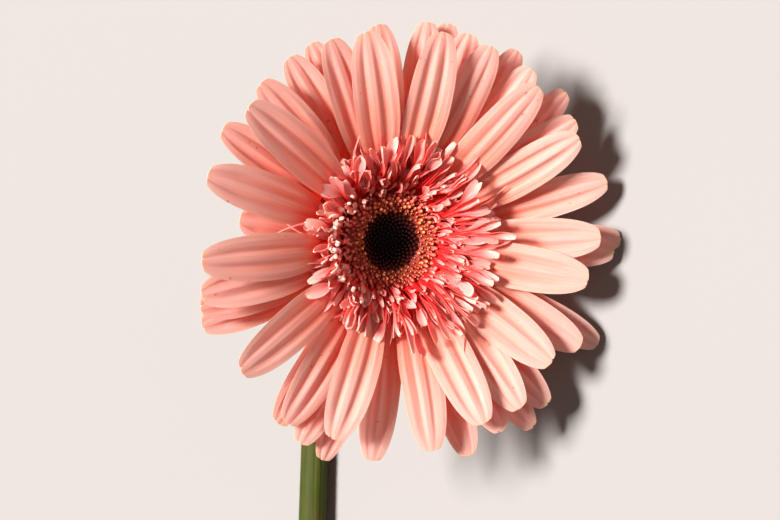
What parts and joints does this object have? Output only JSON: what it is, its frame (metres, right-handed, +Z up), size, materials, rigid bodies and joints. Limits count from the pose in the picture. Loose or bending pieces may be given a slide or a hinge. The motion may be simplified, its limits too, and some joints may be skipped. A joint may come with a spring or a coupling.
{
  "type": "cut gerbera",
  "caption": "Cut gerbera daisy lying on its side: broad ray petals round a crown of short florets and a dark disc, on a bare bent stem.",
  "frame": {"origin": "Middle of the underside of the bounding box, on the surface that the flower lies on.", "axes": "+Z up from the surface, +Y from the cut end of the stem towards the head, +X the side that the face leans to."},
  "size_m": [0.0874, 0.3258, 0.0885],
  "materials": {
    "ray_petal": "satin salmon-pink petal, paler on the lit ridges and coral at the base",
    "trans_petal": "satin deep coral pink, pale at the tips",
    "disc": "matt orange-brown florets with cream anthers",
    "disc_bud": "matt near-black closed florets",
    "stem": "hairy olive-green stem, pale where cut",
    "bract": "hairy dull green bract"
  },
  "bodies": {
    "root": {"ray_floret_01": "ray_petal", "ray_floret_02": "ray_petal", "ray_floret_03": "ray_petal", "ray_floret_04": "ray_petal", "ray_floret_05": "ray_petal", "ray_floret_06": "ray_petal", "ray_floret_07": "ray_petal", "ray_floret_08": "ray_petal", "ray_floret_09": "ray_petal", "ray_floret_10": "ray_petal", "ray_floret_11": "ray_petal", "ray_floret_12": "ray_petal", "ray_floret_13": "ray_petal", "ray_floret_14": "ray_petal", "ray_floret_15": "ray_petal", "ray_floret_16": "ray_petal", "ray_floret_17": "ray_petal", "ray_floret_18": "ray_petal", "ray_floret_19": "ray_petal", "ray_floret_20": "ray_petal", "ray_floret_21": "ray_petal", "ray_floret_22": "ray_petal", "ray_floret_23": "ray_petal", "ray_floret_24": "ray_petal", "ray_floret_25": "ray_petal", "ray_floret_26": "ray_petal", "ray_floret_27": "ray_petal", "ray_floret_28": "ray_petal", "ray_floret_29": "ray_petal", "ray_floret_30": "ray_petal", "ray_floret_31": "ray_petal", "ray_floret_32": "ray_petal", "ray_floret_33": "ray_petal", "ray_floret_34": "ray_petal", "ray_floret_35": "ray_petal", "ray_floret_36": "ray_petal", "ray_floret_37": "ray_petal", "ray_floret_38": "ray_petal", "ray_floret_39": "ray_petal", "ray_floret_40": "ray_petal", "ray_floret_41": "ray_petal", "ray_floret_42": "ray_petal", "ray_floret_43": "ray_petal", "ray_floret_44": "ray_petal", "ray_floret_45": "ray_petal", "ray_floret_46": "ray_petal", "ray_floret_47": "ray_petal", "scape": "stem", "involucre_outer_bracts": "bract", "involucre_inner_bracts": "bract", "trans_florets_outer": "trans_petal", "trans_florets_middle": "trans_petal", "trans_florets_inner": "trans_petal", "disc_florets": "disc", "disc_buds": "disc_bud"}
  },
  "joints": []
}
